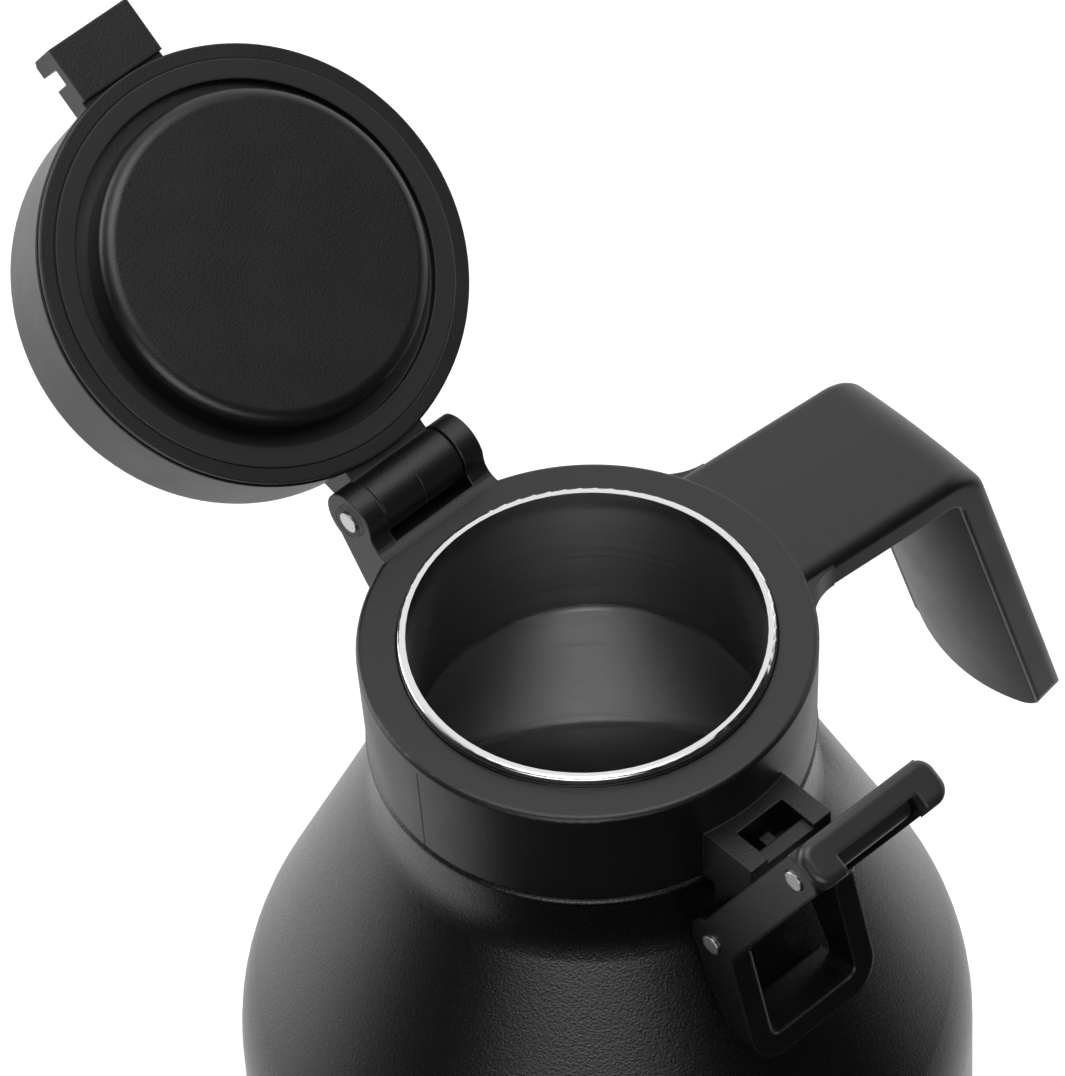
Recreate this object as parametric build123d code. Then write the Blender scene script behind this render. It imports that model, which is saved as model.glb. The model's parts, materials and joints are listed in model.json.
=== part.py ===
from build123d import *
import os
from math import cos, radians, sin, sqrt, tan

# Insulated growler: a double-wall steel vessel with a moulded collar and handle,
# a hinged lid that stands open, and a lever latch that is released.
# +Z is up, the origin is the centre of the base, +X points to the handle,
# -Y to the latch and +Y to the lid hinge. Millimetres and degrees.
# A drop is measured down from the ring top, a rise is measured up from it.

# Vessel
ring_top = 240.0            # top face of the collar above the table
body_d = 133.0
mouth_d = 62.6              # bore of the rolled rim and of the liner's neck
cone_start_drop = 36.0      # sharp corner between neck and shoulder cone
cone_angle = 23.7           # of the shoulder, from the vertical
shoulder_r = 40.0
neck_blend_r = 16.0
neck_lip_r = 0.7            # rounded lip of the shell under the collar
base_edge_r = 6.0
shell_wall = 0.8
liner_wall = 0.7
vacuum_gap = 4.2
neck_tube_gap = 1.8
neck_tube_d = mouth_d + 2 * (liner_wall + shell_wall + neck_tube_gap)   # steel tube inside the collar
rim_bead_w = 1.45           # width of the rolled rim
rim_stand = 1.9             # rolled rim above the ring top
rim_bead_t = 1.8
foot_d = 115.6              # inner edge of the foot
base_recess = 3.0
base_disc_wall = 0.8
liner_base_gap = 5.0
liner_base_r = 14.0
liner_lift = 3.0            # liner's cone above where an even gap would put it
liner_neck_r = 5.0
liner_shoulder_r = 14.0
port_d = 4.0                # evacuation hole under the base disc
port_seal_d = 12.0
port_seal_t = 1.4

# Collar
collar_bore_gap = 0.2
collar_wall = 5.2
collar_d = neck_tube_d + 2 * (collar_bore_gap + collar_wall)
collar_r = collar_d / 2
collar_h = 22.9
collar_taper = 0.7          # radius lost from top to bottom
neck_step = 0.35
neck_d = collar_d - 2 * (collar_taper + neck_step)     # steel neck just below the collar
collar_edge_r = 1.0
collar_flange_t = 1.5
collar_rim_gap = 0.3
seam_gap = 0.1
weld = 1.0                  # how far joined forms run into each other
seal_t = 1.2

# Handle: a strap that runs out from the collar and turns down into an open grip
handle_w = 33.0
handle_t = 6.4              # strap thickness at its edges
handle_crown = 0.5
handle_edge_r = 2.4
handle_inner_r = 0.5
root_reach = 5.0            # from the collar to where the strap leaves its root block
handle_root_x = collar_r + root_reach
handle_drop = 1.9           # edge of the strap below the ring top at the root
strap_slope = 7.0
strap_reach = 39.1          # from the collar to the sharp outer corner of strap and grip
corner_x = collar_r + strap_reach
bend_r = 11.0
grip_slope = 15.6           # from the vertical, leaning out
grip_end_drop = 86.0
grip_lead = 17.1            # insert begins this far before the corner
grip_start_x = corner_x - grip_lead
grip_seat = 4.6             # thickness of the handle behind the insert
grip_wall = 1.2             # handle wall left on both sides of the insert
grip_crown = 3.2
grip_corner_r = 4.5         # rounded corners at the end
root_flare_r = 11.5
root_depth = 8.0
root_back = collar_r - root_depth

# Lid hinge
hinge_reach = 6.2
hinge_y = collar_r + hinge_reach
hinge_rise = 3.2            # pin above the ring top
hinge_pin_d = 4.0
hinge_pin_l = 27.4
ear_r = 5.6
ear_t = 4.2
ear_blend_r = 3.5
ear_rear_drop = 10.5
ear_rear_y = collar_r + 2.9
ear_foot_drop = 15.0
ear_foot_y = collar_r - 1.4
ear_back_y = hinge_y + 5.5
knuckle_w = 17.6
knuckle_r = 5.3
knuckle_gap = 0.3
notch_y = collar_r - 1.0
run_gap = 0.05              # radial gap of every pin that turns
lid_open = 145.0

# Lid, drawn closed and then swung open
lid_d = collar_d - 0.2
lid_gap = 1.1               # lid underside above the ring top when closed
lid_h = 21.9
lid_taper = 1.2
lid_top_d = lid_d - 2 * lid_taper
lid_top_r = 3.4
lid_crown = 1.2
cap_wall = 2.2
cap_lift = 1.4              # cap skirt above the lid underside
base_flange_d = lid_d - 0.6
base_flange_t = 0.9
base_groove_d = lid_d - 2.6
base_plate_t = 2.0
plug_d = mouth_d - 1.8
plug_drop = 6.2             # plug face below the lid underside
plug_edge_r = 2.6
plug_wall = 2.2
rim_clear = 0.8             # lid groove above the rolled rim
gasket_out_d = mouth_d + 11.0
gasket_in_d = mouth_d + 3.6
gasket_t = 1.7
gasket_stand = 0.3
insulation_gap = 0.3
arm_top_y = collar_r + 1.4
arm_top_rise = 11.4
arm_root_rise = 12.8
arm_face_lean = 25.0
tab_w = 17.8
tab_length = 10.8           # front of the catch tab beyond the collar
tab_reach = collar_r + tab_length
tab_lip_t = 3.3
tab_lip_rise = 9.9
tab_front_rise = 8.9
tab_groove_w = 3.3
tab_floor_rise = 3.7
tab_root_rise = 8.2

# Latch
lever_w = 29.2
lever_arm_t = 4.6
arm_in = 4.0                # arm edges to each side of the line through the pins
arm_out = 4.3
latch_pin_d = 3.8
latch_pin_l = 29.8
pivot_pin_l = 30.0
pivot_reach = 5.4
pivot_y = -collar_r - pivot_reach
pivot_drop = 31.0
arm_length = 42.5           # pivot pin to cross pin
arm_lean = 29.7             # of the arms, outward from the vertical
arm_end_r = 5.7
knee_r = 5.1
frame_front_y = pivot_y - 4.9
frame_front_drop = 32.6
frame_front_lean = 14.8
frame_bottom_drop = 56.6
frame_rear_y = pivot_y + 2.3
frame_rear_drop = 39.4
frame_heel_y = pivot_y - 4.0
frame_heel_drop = 52.4
frame_corner_r = 6.5
frame_window_r = 2.0
bottom_rail = 4.2
frame_stop_gap = 0.35
boss_w = 18.8
boss_top_drop = 11.2
boss_reach = 10.3
boss_front_y = -collar_r - boss_reach
cheek_t = 4.1
pocket_back_y = -collar_r - 2.5
pocket_depth = 8.5
pocket_front_t = 3.0
front_wall_drop = 12.3
lug_r = 4.6
peg_w = 2.4
peg_y = -collar_r - 4.5
peg_top_drop = 15.5
clasp_end = 8.4             # outer face of the clasp beyond its pin
clasp_in = 4.0
clasp_out = 4.6
clasp_seat_r = 6.0
clasp_heel = 5.2
clasp_root = 3.7
clasp_corner_r = 3.2
clasp_over = 0.5            # clasp wider than the lever on each side
clasp_edge_r = 1.5
clasp_recess = 0.9
clasp_ear_in = 9.3
clasp_barrel_r = 3.2
clasp_toe_start = 6.5
clasp_web_in = 1.0
side_gap = 0.3


def up(drop):
    return ring_top - drop


def revolve_outline(points, rounds):
    # rounds holds (index, radius) for the corners of the r, z outline
    face = make_face(Polyline([(x, 0, z) for x, z in points], close=True))
    for index, radius in rounds:
        x, z = points[index]
        corner = face.vertices().sort_by_distance((x, 0, z))[0]
        face = fillet(corner, radius)
    return revolve(face, Axis.Z)


def tube(outer_r, inner_r, low, high):
    base_up = (Align.CENTER, Align.CENTER, Align.MIN)
    ring = Pos(0, 0, low) * Cylinder(outer_r, high - low, align=base_up)
    if inner_r > 0:
        ring -= Pos(0, 0, low) * Cylinder(inner_r, high - low, align=base_up)
    return ring


def x_bar(radius, half_length, y, z):
    return Pos(0, y, z) * Rot(0, 90, 0) * Cylinder(radius, 2 * half_length)


def slab(points, half_width):
    # prism across X from a closed outline of y, z points
    outline = make_face(Polyline([(0, y, z) for y, z in points], close=True))
    return extrude(outline, half_width, dir=(1, 0, 0), both=True)


def block(x0, x1, y0, y1, z0, z1):
    centre = Pos((x0 + x1) / 2, (y0 + y1) / 2, (z0 + z1) / 2)
    return centre * Box(abs(x1 - x0), abs(y1 - y0), abs(z1 - z0))


def shoulder_z(radius, inset):
    # height at which the shoulder cone, moved inward by inset, meets a radius
    lean = radians(cone_angle)
    return up(cone_start_drop) - (radius + inset / cos(lean) - neck_d / 2) / tan(lean)


def shell_outline(inset, top, bottom):
    # closed r, z outline of everything inside the shell's outer face moved in by inset
    neck_r = neck_d / 2 - inset
    body_r = body_d / 2 - inset
    return [(0, bottom), (body_r, bottom), (body_r, shoulder_z(body_r, inset)),
            (neck_r, shoulder_z(neck_r, inset)), (neck_r, top), (0, top)]


def outer_shell():
    seat = up(collar_h + seam_gap)
    wall = shell_wall
    solid = revolve_outline(shell_outline(0, seat, 0), [(1, base_edge_r), (2, shoulder_r),
                                                        (3, neck_blend_r), (4, neck_lip_r)])
    inner = shell_outline(wall, seat - wall, base_recess + wall)
    hollow = revolve_outline(inner, [(1, base_edge_r - wall), (2, shoulder_r - wall),
                                     (3, neck_blend_r + wall)])
    recess = tube(foot_d / 2, 0, 0, base_recess)
    tube_top = up(collar_flange_t + seal_t)
    tube_r = neck_tube_d / 2
    liner_r = mouth_d / 2 + liner_wall
    neck = tube(tube_r, 0, seat - wall, tube_top)
    neck_bore = tube(tube_r - wall, 0, seat - 2 * wall, tube_top - wall)
    top = tube(liner_r + wall, 0, tube_top - wall, ring_top)
    shell = solid - hollow - recess + neck + top
    shell -= neck_bore
    shell -= tube(liner_r, 0, tube_top - 2 * wall, ring_top)
    return shell - tube(port_d / 2, 0, base_recess, base_recess + wall)


def liner_outline(radius, neck_r, inset, floor, top):
    # closed r, z outline up to the rim, with the cone moved in by inset
    return [(0, floor), (radius, floor), (radius, shoulder_z(radius, inset) + liner_lift),
            (neck_r, shoulder_z(neck_r, inset) + liner_lift), (neck_r, top)]


def inner_liner():
    inset = shell_wall + vacuum_gap
    bore = inset + liner_wall
    floor = base_recess + shell_wall + liner_base_gap
    top = ring_top + rim_stand
    rim_r = mouth_d / 2 + rim_bead_w
    outer = liner_outline(body_d / 2 - inset, mouth_d / 2 + liner_wall, inset, floor, top - rim_bead_t)
    outer += [(rim_r, top - rim_bead_t), (rim_r, top), (0, top)]
    inner = liner_outline(body_d / 2 - bore, mouth_d / 2, bore, floor + liner_wall, top) + [(0, top)]
    bead = rim_bead_w / 2 - seam_gap
    solid = revolve_outline(outer, [(1, liner_base_r), (2, liner_shoulder_r), (3, liner_neck_r),
                                    (5, bead), (6, bead)])
    hollow = revolve_outline(inner, [(1, liner_base_r - liner_wall), (2, liner_shoulder_r - liner_wall),
                                     (3, liner_neck_r + liner_wall)])
    return solid - hollow


def base_disc():
    disc = tube(foot_d / 2, 0, 0, base_recess)
    return disc - tube(foot_d / 2 - base_disc_wall, 0, base_disc_wall, base_recess)


def vacuum_seal():
    return tube(port_seal_d / 2, 0, base_recess - port_seal_t, base_recess)


def collar_seal():
    inner_r = mouth_d / 2 + liner_wall + shell_wall
    low = up(collar_flange_t + seal_t)
    return tube(neck_tube_d / 2, inner_r, low, low + seal_t)


def collar_ring():
    low = up(collar_h)
    top_r = collar_d / 2
    outline = [(0, low), (top_r - collar_taper, low), (top_r, ring_top), (0, ring_top)]
    return revolve_outline(outline, [(1, collar_edge_r / 2), (2, collar_edge_r)])


def ear_outline():
    centre_z = up(-hinge_rise)
    start_y = hinge_y - sqrt((ear_r + ear_blend_r) ** 2 - (ear_blend_r - hinge_rise) ** 2)
    reach = ear_r / (ear_r + ear_blend_r)
    touch_y = hinge_y + reach * (start_y - hinge_y)
    touch_z = centre_z + reach * (ear_blend_r - hinge_rise)
    blend = [(start_y + ear_blend_r * sin(radians(a)), ring_top + ear_blend_r * (1 - cos(radians(a))))
             for a in range(0, 80, 13)]
    return blend + [(touch_y, touch_z), (hinge_y, centre_z), (ear_back_y, centre_z - 0.6),
                    (ear_rear_y, up(ear_rear_drop)), (ear_foot_y, up(ear_foot_drop)),
                    (start_y, up(ear_foot_drop))]


def hinge_ears():
    inner = knuckle_w / 2 + knuckle_gap
    outer = inner + ear_t
    centre_z = up(-hinge_rise)
    ears = slab(ear_outline(), outer) + x_bar(ear_r, outer, hinge_y, centre_z)
    web_z = centre_z - knuckle_r - knuckle_gap
    back = hinge_y + knuckle_r + knuckle_gap + ear_r
    return ears - block(-inner, inner, notch_y, back, web_z, ring_top + 2 * ear_r)


def latch_boss():
    half = boss_w / 2
    low = up(collar_h)
    boss = block(-half, half, boss_front_y, pivot_y + 2 * lug_r, low, up(boss_top_drop))
    inner = half - cheek_t
    wall_y = boss_front_y + pocket_front_t
    boss -= block(-inner, inner, wall_y, pocket_back_y, up(boss_top_drop + pocket_depth), up(boss_top_drop))
    boss -= block(-inner, inner, boss_front_y, wall_y, up(front_wall_drop), up(boss_top_drop))
    boss += block(-peg_w / 2, peg_w / 2, peg_y - peg_w / 2, peg_y + peg_w / 2,
                  up(boss_top_drop + pocket_depth), up(peg_top_drop))
    lug = block(-half, half, pivot_y - lug_r, pivot_y + lug_r, up(pivot_drop), low)
    return boss + lug + x_bar(lug_r, half, pivot_y, up(pivot_drop))


def strap_height(x):
    return up(handle_drop) - (x - handle_root_x) * tan(radians(strap_slope))


def handle_corner():
    return (corner_x, strap_height(corner_x))


def grip_x(drop):
    return corner_x + (drop - (ring_top - handle_corner()[1])) * tan(radians(grip_slope))


def handle_path(start_x, end_drop):
    # line, bend and line along the outer edge of the strap and the grip
    corner = handle_corner()
    start = (start_x, strap_height(start_x))
    end = (grip_x(end_drop), up(end_drop))
    turn = 90 - grip_slope - strap_slope
    cut = bend_r * tan(radians(turn) / 2)
    a = radians(strap_slope)
    b = radians(grip_slope)
    p1 = (corner[0] - cut * cos(a), corner[1] + cut * sin(a))
    p2 = (corner[0] + cut * sin(b), corner[1] - cut * cos(b))
    centre = (p1[0] - bend_r * sin(a), p1[1] - bend_r * cos(a))
    mid_a = radians(90 - strap_slope - turn / 2)
    mid = (centre[0] + bend_r * cos(mid_a), centre[1] + bend_r * sin(mid_a))
    line1 = Line((start[0], 0, start[1]), (p1[0], 0, p1[1]))
    arc = ThreePointArc((p1[0], 0, p1[1]), (mid[0], 0, mid[1]), (p2[0], 0, p2[1]))
    line2 = Line((p2[0], 0, p2[1]), (end[0], 0, end[1]))
    return Wire([line1.edge(), arc.edge(), line2.edge()])


def section_plane(start_x):
    a = radians(strap_slope)
    return Plane(origin=(start_x, 0, strap_height(start_x)), x_dir=(0, 1, 0), z_dir=(cos(a), 0, -sin(a)))


def rounded(face, corners):
    # corners holds (x, y, z, radius) of the face's corners to round
    for x, y, z, radius in corners:
        face = fillet(face.vertices().sort_by_distance((x, y, z))[0], radius)
    return face


def strap_section(start_x):
    half = handle_w / 2
    top = ThreePointArc((-half, 0), (0, handle_crown), (half, 0))
    rest = Polyline((half, 0), (half, -handle_t), (-half, -handle_t), (-half, 0))
    face = rounded(make_face([top.edge()] + rest.edges()),
                   [(half, 0, 0, handle_edge_r), (-half, 0, 0, handle_edge_r),
                    (half, -handle_t, 0, handle_inner_r), (-half, -handle_t, 0, handle_inner_r)])
    return section_plane(start_x) * face


def seat_section(start_x):
    # takes away the inner side of the handle where the insert lies
    half = handle_w / 2 - grip_wall
    low = -handle_t - weld
    outline = Polyline((half, -grip_seat), (half, low), (-half, low), (-half, -grip_seat), close=True)
    return section_plane(start_x) * make_face(outline)


def grip_section(start_x):
    half = handle_w / 2 - grip_wall - seam_gap / 2
    seat = -grip_seat - seam_gap / 2
    crown = ThreePointArc((-half, -handle_t), (0, -handle_t - grip_crown), (half, -handle_t))
    rest = Polyline((half, -handle_t), (half, seat), (-half, seat), (-half, -handle_t))
    return section_plane(start_x) * make_face([crown.edge()] + rest.edges())


def grip_end_cut():
    # rounds the two corners at the end of the grip
    b = radians(grip_slope)
    tall = 4 * grip_corner_r
    end = (grip_x(grip_end_drop), 0, up(grip_end_drop))
    plane = Plane(origin=end, x_dir=(0, 1, 0), z_dir=(cos(b), 0, sin(b)))
    spare = plane * Pos(0, grip_corner_r - tall / 2) * Rectangle(2 * handle_w, tall)
    spare -= plane * Pos(0, tall / 2) * RectangleRounded(handle_w, tall, grip_corner_r)
    return extrude(spare, 2 * (handle_t + grip_crown), both=True)


def root_block():
    a = radians(strap_slope)
    back = (-cos(a), 0, sin(a))
    strap = extrude(strap_section(handle_root_x), handle_root_x - root_back, dir=back)
    centre_y = handle_w / 2 + root_flare_r
    centre_x = sqrt((collar_r + root_flare_r) ** 2 - centre_y ** 2)
    touch_y = centre_y * collar_r / (collar_r + root_flare_r)
    low = up(2 * handle_t)
    flare = block(root_back, centre_x, -touch_y, touch_y, low, ring_top)
    for side in (-1, 1):
        flare -= Pos(centre_x, side * centre_y, (low + ring_top) / 2) * Cylinder(root_flare_r, ring_top - low)
    top = -handle_edge_r / 2
    level = Polyline((collar_r, top), (collar_r, -handle_t), (-collar_r, -handle_t), (-collar_r, top), close=True)
    slope = extrude(section_plane(handle_root_x) * make_face(level), handle_root_x - root_back, dir=back)
    return strap + (flare & slope)


def collar():
    ring = collar_ring()
    inner = knuckle_w / 2 + knuckle_gap
    web_z = up(-hinge_rise) - knuckle_r - knuckle_gap
    ring -= block(-inner, inner, notch_y, collar_d, web_z, ring_top)
    body = ring + hinge_ears() + latch_boss() + root_block()
    bore_r = neck_tube_d / 2 + collar_bore_gap
    low = up(collar_h)
    body -= tube(bore_r, 0, low, up(collar_flange_t))
    body -= tube(mouth_d / 2 + rim_bead_w + collar_rim_gap, 0, up(collar_flange_t), ring_top)
    body -= block(-collar_d, collar_d, -collar_r / 2, collar_r / 2, ring_top, ring_top + ear_r)
    body -= x_bar(hinge_pin_d / 2, collar_d, hinge_y, up(-hinge_rise))
    return body - x_bar(latch_pin_d / 2, collar_d, pivot_y, up(pivot_drop))


def handle():
    strap = sweep(strap_section(handle_root_x), path=handle_path(handle_root_x, grip_end_drop))
    seat = sweep(seat_section(grip_start_x), path=handle_path(grip_start_x, grip_end_drop + grip_corner_r))
    return strap - seat - grip_end_cut()


def handle_grip():
    start = grip_start_x + seam_gap
    return sweep(grip_section(start), path=handle_path(start, grip_end_drop)) - grip_end_cut()


def hinge_pin():
    return x_bar(hinge_pin_d / 2, hinge_pin_l / 2, hinge_y, up(-hinge_rise))


def latch_pin_lower():
    return x_bar(latch_pin_d / 2, pivot_pin_l / 2, pivot_y, up(pivot_drop))


def open_lid(shape):
    # swings a piece drawn closed to where the lid stands open
    there = Pos(0, hinge_y, up(-hinge_rise)) * Rot(-lid_open, 0, 0)
    return there * Pos(0, -hinge_y, -up(-hinge_rise)) * shape


def lid_levels():
    under = ring_top + lid_gap
    groove = ring_top + rim_stand + rim_clear
    return under, groove, under + cap_lift, under + lid_h


def lid_tab():
    under = ring_top + lid_gap
    lip_y = -tab_reach + tab_lip_t
    root_y = lip_y + tab_groove_w
    back = -lid_top_d / 2 + weld
    heel_y = -base_flange_d / 2 - side_gap
    return slab([(back, under + cap_lift), (heel_y, under + cap_lift), (heel_y, under), (-tab_reach, under),
                 (-tab_reach, ring_top + tab_front_rise), (-tab_reach + 1, ring_top + tab_lip_rise),
                 (lip_y, ring_top + tab_lip_rise), (lip_y, ring_top + tab_floor_rise),
                 (root_y, ring_top + tab_floor_rise), (root_y, ring_top + tab_root_rise),
                 (back, ring_top + tab_root_rise)], tab_w / 2)


def lid_arm():
    axis_z = up(-hinge_rise)
    low = ring_top + lid_gap + cap_lift
    lean = radians(arm_face_lean)
    touch = (hinge_y + knuckle_r * sin(lean), axis_z + knuckle_r * cos(lean))
    back = lid_top_d / 2 - weld
    arm = slab([touch, (arm_top_y, ring_top + arm_top_rise), (back, ring_top + arm_root_rise), (back, low),
                (hinge_y - knuckle_r + 0.5, low), (hinge_y, axis_z)], knuckle_w / 2)
    return arm + x_bar(knuckle_r, knuckle_w / 2, hinge_y, axis_z)


def lid_cap():
    under, groove, skirt, top = lid_levels()
    outline = [(0, skirt), (lid_d / 2, skirt), (lid_top_d / 2, top), (0, top + lid_crown)]
    body = revolve_outline(outline, [(2, lid_top_r)]) + lid_tab() + lid_arm()
    wall = cap_wall
    inner = [(0, skirt), (lid_d / 2 - wall, skirt), (lid_top_d / 2 - wall, top - wall), (0, top - wall)]
    body -= revolve_outline(inner, [(2, lid_top_r / 2)])
    body -= tube(lid_d / 2 - wall, 0, under, skirt)
    return open_lid(body - x_bar(hinge_pin_d / 2 + run_gap, lid_d, hinge_y, up(-hinge_rise)))


def lid_base():
    under, groove, skirt, top = lid_levels()
    spigot_r = lid_d / 2 - cap_wall - 2 * seam_gap
    seat = under - gasket_stand + gasket_t
    solid = tube(base_flange_d / 2, 0, under, under + base_flange_t)
    solid += tube(base_groove_d / 2, 0, under + base_flange_t, skirt)
    solid += tube(spigot_r, 0, skirt, groove + base_plate_t)
    solid -= tube(gasket_out_d / 2, 0, under, seat)
    return open_lid(solid - tube(gasket_in_d / 2, 0, seat, groove))


def lid_gasket():
    low = ring_top + lid_gap - gasket_stand
    return open_lid(tube(gasket_out_d / 2, gasket_in_d / 2, low, low + gasket_t))


def lid_plug():
    under, groove, skirt, top = lid_levels()
    face = under - plug_drop
    r = plug_d / 2
    solid = revolve_outline([(0, face), (r, face), (r, groove), (0, groove)], [(1, plug_edge_r)])
    return open_lid(solid - tube(r - plug_wall, 0, face + plug_wall, groove))


def lid_insulation():
    under, groove, skirt, top = lid_levels()
    low = groove + base_plate_t
    high = top - cap_wall - insulation_gap
    r = lid_top_d / 2 - cap_wall - insulation_gap
    return open_lid(revolve_outline([(0, low), (r, low), (r, high), (0, high)], [(2, lid_top_r / 2)]))


def lever_place():
    return Pos(0, pivot_y, up(pivot_drop)) * Rot(arm_lean, 0, 0)


def cross_pin_point():
    lean = radians(arm_lean)
    return pivot_y - arm_length * sin(lean), up(pivot_drop) + arm_length * cos(lean)


def lever_arms():
    half = lever_w / 2
    arm = block(-half, half, -arm_out, arm_in, 0, arm_length)
    tip = block(-half, half, -arm_out, arm_in, arm_length, arm_length + arm_end_r)
    tip &= x_bar(arm_end_r, half, 0, arm_length)
    return lever_place() * (arm + tip)


def lever_frame():
    half = lever_w / 2
    low = up(frame_bottom_drop)
    front_low_y = frame_front_y - (frame_bottom_drop - frame_front_drop) * tan(radians(frame_front_lean))
    sides = slab([(frame_front_y, up(frame_front_drop)), (front_low_y, low), (frame_heel_y - weld, low),
                  (frame_heel_y, up(frame_heel_drop)), (frame_rear_y, up(frame_rear_drop)),
                  (pivot_y + knee_r - weld, up(pivot_drop)), (pivot_y, up(pivot_drop))], half)
    outline = Plane.XZ * Pos(0, (low + ring_top) / 2) * RectangleRounded(lever_w, ring_top - low, frame_corner_r)
    return sides & extrude(outline, 2 * body_d, both=True)


def rail_stop():
    # rear of the bottom rail, which comes to rest just off the shoulder
    lean = radians(cone_angle)
    half = lever_w / 2 - lever_arm_t
    low = frame_bottom_drop
    high = frame_bottom_drop - bottom_rail

    def rear(drop):
        return -(neck_d / 2 + (drop - cone_start_drop) * tan(lean) + frame_stop_gap / cos(lean))

    return slab([(frame_heel_y - 2 * weld, up(low)), (rear(low), up(low)), (rear(high), up(high)),
                 (frame_heel_y - 2 * weld, up(high))], half)


def latch_lever():
    half = lever_w / 2
    inner = half - lever_arm_t
    knee = x_bar(knee_r, half, pivot_y, up(pivot_drop))
    body = lever_arms() + knee + lever_frame()
    rail_top = up(frame_bottom_drop - bottom_rail)
    top = ring_top + arm_length
    gap = Plane.XZ * Pos(0, (rail_top + top) / 2) * RectangleRounded(2 * inner, top - rail_top, frame_window_r)
    body -= extrude(gap, 2 * body_d, both=True)
    body += rail_stop()
    body -= x_bar(latch_pin_d / 2 + run_gap, lever_w, pivot_y, up(pivot_drop))
    y, z = cross_pin_point()
    return body - x_bar(latch_pin_d / 2, lever_w, y, z)


def latch_pin_upper():
    y, z = cross_pin_point()
    return x_bar(latch_pin_d / 2, latch_pin_l / 2, y, z)


def clasp_head():
    # solid block above the pin, with the corners and the top edges rounded
    base_up = (Align.CENTER, Align.CENTER, Align.MIN)
    half = lever_w / 2 + clasp_over
    plan = RectangleRounded(2 * half, clasp_in + clasp_out, clasp_corner_r)
    head = extrude(Pos(0, (clasp_in - clasp_out) / 2, clasp_root) * plan, clasp_end - clasp_root)
    head = fillet(head.faces().sort_by(Axis.Z)[-1].edges(), clasp_edge_r)
    return head - Pos(0, clasp_in, 0) * Box(2 * half, 2 * clasp_in, clasp_heel, align=base_up)


def latch_clasp():
    half = lever_w / 2 + clasp_over
    ear = clasp_ear_in
    head = clasp_head() - x_bar(clasp_seat_r, half, 0, 0)
    head -= block(-ear, ear, -clasp_out, -clasp_recess, 0, clasp_end)
    head -= block(-ear, ear, clasp_web_in, clasp_in, 0, clasp_toe_start)
    web = block(-ear, ear, -clasp_recess, clasp_web_in, 0, clasp_toe_start + clasp_edge_r / 2)
    inner = lever_w / 2 - lever_arm_t - side_gap
    body = head + web + x_bar(clasp_barrel_r, inner, 0, 0)
    body -= x_bar(latch_pin_d / 2 + run_gap, half, 0, 0)
    y, z = cross_pin_point()
    return Pos(0, y, z) * Rot(arm_lean, 0, 0) * body


os.makedirs("parts", exist_ok=True)
PIECES = {
    "outer_shell": outer_shell,
    "inner_liner": inner_liner,
    "base_disc": base_disc,
    "vacuum_seal": vacuum_seal,
    "collar": collar,
    "collar_seal": collar_seal,
    "handle": handle,
    "handle_grip": handle_grip,
    "hinge_pin": hinge_pin,
    "latch_pin_lower": latch_pin_lower,
    "lid_cap": lid_cap,
    "lid_base": lid_base,
    "lid_insulation": lid_insulation,
    "lid_plug": lid_plug,
    "lid_gasket": lid_gasket,
    "latch_lever": latch_lever,
    "latch_pin_upper": latch_pin_upper,
    "latch_clasp": latch_clasp,
}
for name, make in PIECES.items():
    export_step(make(), f"parts/{name}.step")
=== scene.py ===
import json
import math

import bmesh
import bpy
from bpy.props import FloatProperty, FloatVectorProperty, PointerProperty
from mathutils import Matrix, Vector


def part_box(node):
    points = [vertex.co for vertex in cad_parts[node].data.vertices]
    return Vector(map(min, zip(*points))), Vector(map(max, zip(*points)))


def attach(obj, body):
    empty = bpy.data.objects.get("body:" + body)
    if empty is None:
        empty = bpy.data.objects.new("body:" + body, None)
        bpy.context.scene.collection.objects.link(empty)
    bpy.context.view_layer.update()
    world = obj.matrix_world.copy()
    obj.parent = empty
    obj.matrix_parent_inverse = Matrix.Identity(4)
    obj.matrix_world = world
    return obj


bl_info = {
    "name": "Insulated growler",
    "version": (1, 0, 0),
    "blender": (4, 5, 0),
    "location": "View3D > Sidebar > Growler",
    "description": "Finishes, small moulded details and the studio of an insulated growler",
    "category": "Object",
}

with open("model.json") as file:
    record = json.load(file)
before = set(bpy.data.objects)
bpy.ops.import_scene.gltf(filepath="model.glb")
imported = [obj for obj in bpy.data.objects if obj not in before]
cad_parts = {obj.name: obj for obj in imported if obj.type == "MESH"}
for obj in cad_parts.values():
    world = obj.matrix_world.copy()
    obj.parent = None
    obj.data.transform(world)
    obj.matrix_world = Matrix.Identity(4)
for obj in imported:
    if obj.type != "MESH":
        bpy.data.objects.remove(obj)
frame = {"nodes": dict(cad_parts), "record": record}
NODES = frame["nodes"]
MM = 0.001
HANDLE_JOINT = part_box("handle")[0][0]  # along X, where the handle grows out of the collar

# The photograph's own frame in pixels, and the width of the camera's sensor in millimetres.
PHOTO_WIDTH = 1065
PHOTO_HEIGHT = 1076
SENSOR_WIDTH = 36

# The coat, the plastics and the paper are all near this. Silicone's is lower, but too dull to show it.
PLASTIC_IOR = 1.5

# Up the liner, from the floor at 0 to the ring at 1: the drawn cylinder, the brushed cone, the neck, the rolled rim.
LINER_ROUGHNESS = ((0.0, 0.14), (0.58, 0.14), (0.61, 0.46), (0.866, 0.46), (0.884, 0.24), (0.985, 0.24), (1.0, 0.12))
# The liner's colour up its height: half as bright down the deep cylinder, a painted shade deep inside the vessel.
LINER_PAINTED_SHADE = ((0.0, 0.5), (0.59, 0.55), (0.615, 1.0), (1.0, 1.0))
LINER_STRETCH = ((0.0, 0.1), (0.86, 0.1), (0.89, 0.8), (1.0, 0.8))
BRUSHED_RUN = 40 * MM  # how far one turned line of the liner runs round before it fades
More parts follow.
